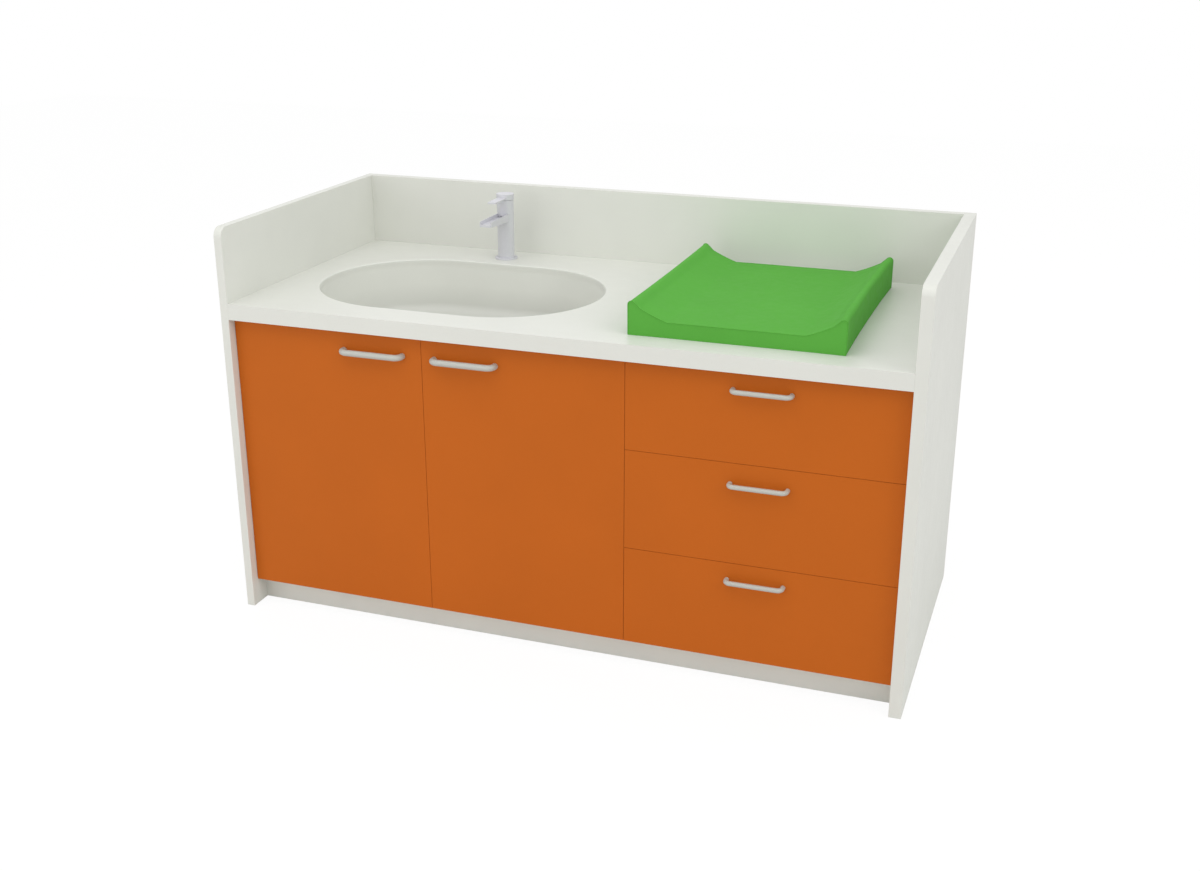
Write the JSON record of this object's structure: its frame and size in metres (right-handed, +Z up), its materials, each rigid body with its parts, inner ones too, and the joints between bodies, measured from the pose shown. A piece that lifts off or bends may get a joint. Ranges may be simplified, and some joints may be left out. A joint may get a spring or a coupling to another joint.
{
  "type": "changing table with basin",
  "caption": "Nursery cabinet with doors and drawers, a worktop with an oblong wash bowl and lever tap, and a trough-shaped changing mat between raised sides.",
  "frame": {"origin": "on the floor, under the middle of the object's bounding box", "axes": "+X to the right seen from the front, +Y towards the wall, +Z up"},
  "size_m": [1.8, 0.837, 1.06],
  "materials": {
    "panel_white": "satin white lacquer on board",
    "worktop_white": "semi-gloss white mineral sheet",
    "bowl_white": "glossy white mineral casting",
    "core_board": "raw particle board",
    "front_orange": "satin orange lacquer on board",
    "drawer_board": "melamine-faced board",
    "handle_metal": "satin",
    "tap_metal": "satin chrome",
    "fitting_steel": "zinc-plated",
    "screw_steel": "nickel-plated",
    "waste_metal": "polished",
    "pipe_white": "matt white",
    "cartridge_plastic": "matt",
    "mat_green": "soft green synthetic leather"
  },
  "bodies": {
    "cabinet": {"left_side_panel": "panel_white", "right_side_panel": "panel_white", "bottom_panel": "panel_white", "partition": "panel_white", "back_panel": "panel_white", "splashback": "panel_white", "wall_rail": "panel_white", "plinth_boards": "panel_white", "front_rails": "panel_white", "worktop_battens": "core_board", "worktop": "worktop_white", "worktop_core": "core_board", "basin": "bowl_white", "waste_body": "waste_metal", "waste_nuts": "pipe_white", "waste_pipes": "pipe_white", "trap_body": "pipe_white", "trap_cup": "pipe_white", "tap_base_ring": "tap_metal", "tap_body": "tap_metal", "tap_spout": "tap_metal", "tap_cartridge": "cartridge_plastic", "tap_inlets": "fitting_steel", "tap_fixings": "fitting_steel", "hinge_arms": "fitting_steel", "runner_outers": "fitting_steel"},
    "waste_plug": {"waste_plug": "waste_metal"},
    "tap_carrier": {"tap_carrier": "cartridge_plastic"},
    "tap_lever": {"tap_stem": "tap_metal", "tap_lever": "tap_metal"},
    "changing_mat": {"changing_mat": "mat_green"},
    "left_door": {"left_door": "front_orange", "left_door_handle": "handle_metal", "left_door_screws": "screw_steel", "left_door_hinge_cups": "fitting_steel"},
    "right_door": {"right_door": "front_orange", "right_door_handle": "handle_metal", "right_door_screws": "screw_steel", "right_door_hinge_cups": "fitting_steel"},
    "top_drawer": {"top_drawer_front": "front_orange", "top_drawer_box": "drawer_board", "top_drawer_floor": "drawer_board", "top_drawer_handle": "handle_metal", "top_drawer_screws": "screw_steel", "top_drawer_runner_inners": "fitting_steel"},
    "top_drawer_runner": {"top_drawer_runner_middles": "fitting_steel"},
    "middle_drawer": {"middle_drawer_front": "front_orange", "middle_drawer_box": "drawer_board", "middle_drawer_floor": "drawer_board", "middle_drawer_handle": "handle_metal", "middle_drawer_screws": "screw_steel", "middle_drawer_runner_inners": "fitting_steel"},
    "middle_drawer_runner": {"middle_drawer_runner_middles": "fitting_steel"},
    "low_drawer": {"low_drawer_front": "front_orange", "low_drawer_box": "drawer_board", "low_drawer_floor": "drawer_board", "low_drawer_handle": "handle_metal", "low_drawer_screws": "screw_steel", "low_drawer_runner_inners": "fitting_steel"},
    "low_drawer_runner": {"low_drawer_runner_middles": "fitting_steel"}
  },
  "joints": [
    {"name": "left_door_swing", "type": "hinge", "parent": "cabinet", "child": "left_door", "pos_m": [-0.877, -0.3885, 0.445], "axis": [0, 0, 1], "range_deg": [-90, 0]},
    {"name": "right_door_swing", "type": "hinge", "parent": "cabinet", "child": "right_door", "pos_m": [0.1915, -0.3885, 0.445], "axis": [0, 0, 1], "range_deg": [0, 90]},
    {"name": "plug_lift", "type": "slide", "parent": "cabinet", "child": "waste_plug", "axis": [0, 0, 1], "range_m": [0, 0.008]},
    {"name": "tap_swivel", "type": "hinge", "parent": "cabinet", "child": "tap_carrier", "pos_m": [-0.405, 0.30382, 1.02], "axis": [0, 0, 1], "range_deg": [-45, 45]},
    {"name": "tap_lift", "type": "hinge", "parent": "tap_carrier", "child": "tap_lever", "pos_m": [-0.405, 0.30382, 1.02], "axis": [-1, 0, 0], "range_deg": [0, 20]},
    {"name": "mat_lift", "type": "slide", "parent": "cabinet", "child": "changing_mat", "axis": [0, 0, 1], "range_m": [0, 0.3]},
    {"name": "top_drawer_slide", "type": "slide", "parent": "cabinet", "child": "top_drawer", "axis": [0, 1, 0], "range_m": [-0.5, 0]},
    {"name": "top_drawer_runner_slide", "type": "slide", "parent": "cabinet", "child": "top_drawer_runner", "axis": [0, 1, 0], "range_m": [-0.25, 0]},
    {"name": "middle_drawer_slide", "type": "slide", "parent": "cabinet", "child": "middle_drawer", "axis": [0, 1, 0], "range_m": [-0.5, 0]},
    {"name": "middle_drawer_runner_slide", "type": "slide", "parent": "cabinet", "child": "middle_drawer_runner", "axis": [0, 1, 0], "range_m": [-0.25, 0]},
    {"name": "low_drawer_slide", "type": "slide", "parent": "cabinet", "child": "low_drawer", "axis": [0, 1, 0], "range_m": [-0.5, 0]},
    {"name": "low_drawer_runner_slide", "type": "slide", "parent": "cabinet", "child": "low_drawer_runner", "axis": [0, 1, 0], "range_m": [-0.25, 0]}
  ],
  "couplings": [
    {"joint": "top_drawer_runner_slide", "follows": "top_drawer_slide", "ratio": 0.5},
    {"joint": "middle_drawer_runner_slide", "follows": "middle_drawer_slide", "ratio": 0.5},
    {"joint": "low_drawer_runner_slide", "follows": "low_drawer_slide", "ratio": 0.5}
  ]
}
